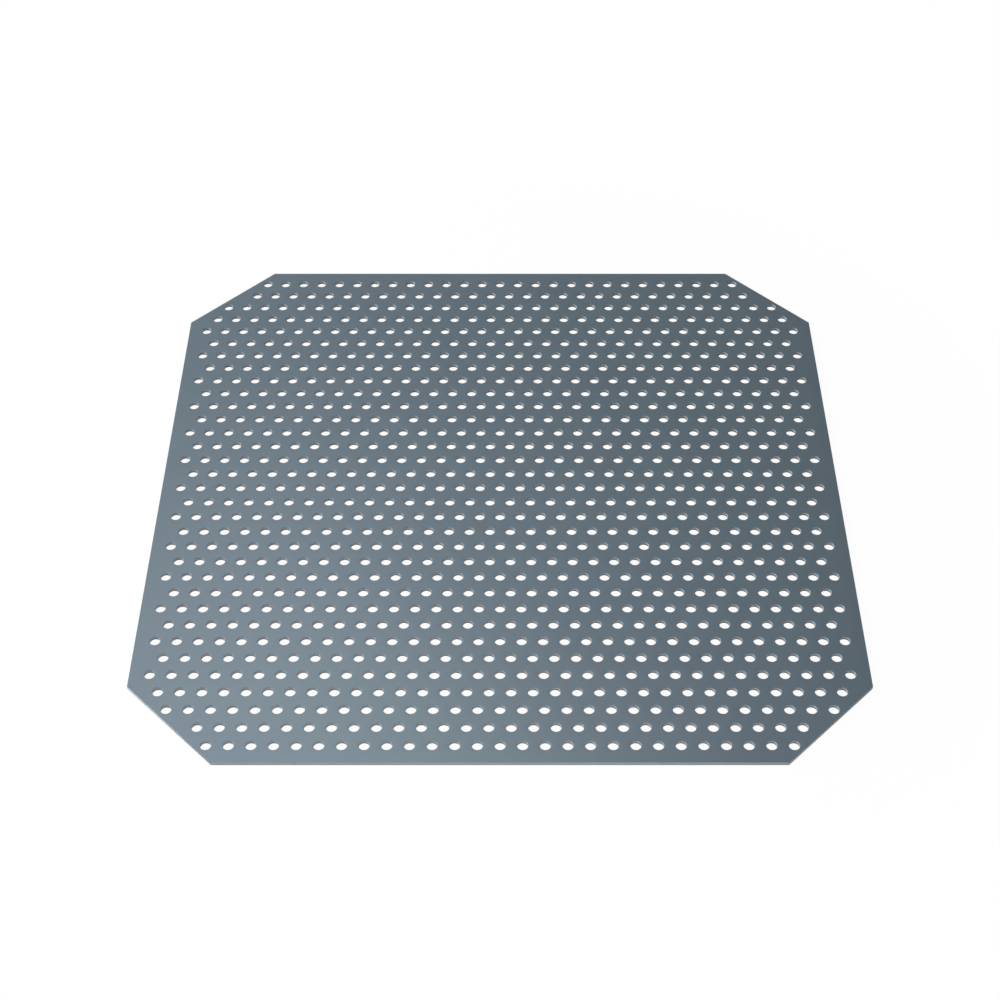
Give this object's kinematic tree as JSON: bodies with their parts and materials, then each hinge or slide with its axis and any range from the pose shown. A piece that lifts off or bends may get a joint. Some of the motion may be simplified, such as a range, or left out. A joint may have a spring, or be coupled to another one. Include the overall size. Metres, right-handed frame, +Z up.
{
  "type": "perforated metal sheet",
  "caption": "Flat square steel sheet with its four corners cut off at 45 degrees, punched all over with round holes in staggered rows.",
  "frame": {"origin": "middle of the sheet on its underside, which is the floor it lies on; a hole is centred there", "axes": "+Z up, normal to the sheet; +X along the rows of holes; +Y from row to row"},
  "size_m": [0.3386, 0.3386, 0.002],
  "materials": {
    "steel": "satin"
  },
  "bodies": {
    "root": {"perforated_sheet": "steel"}
  },
  "joints": []
}
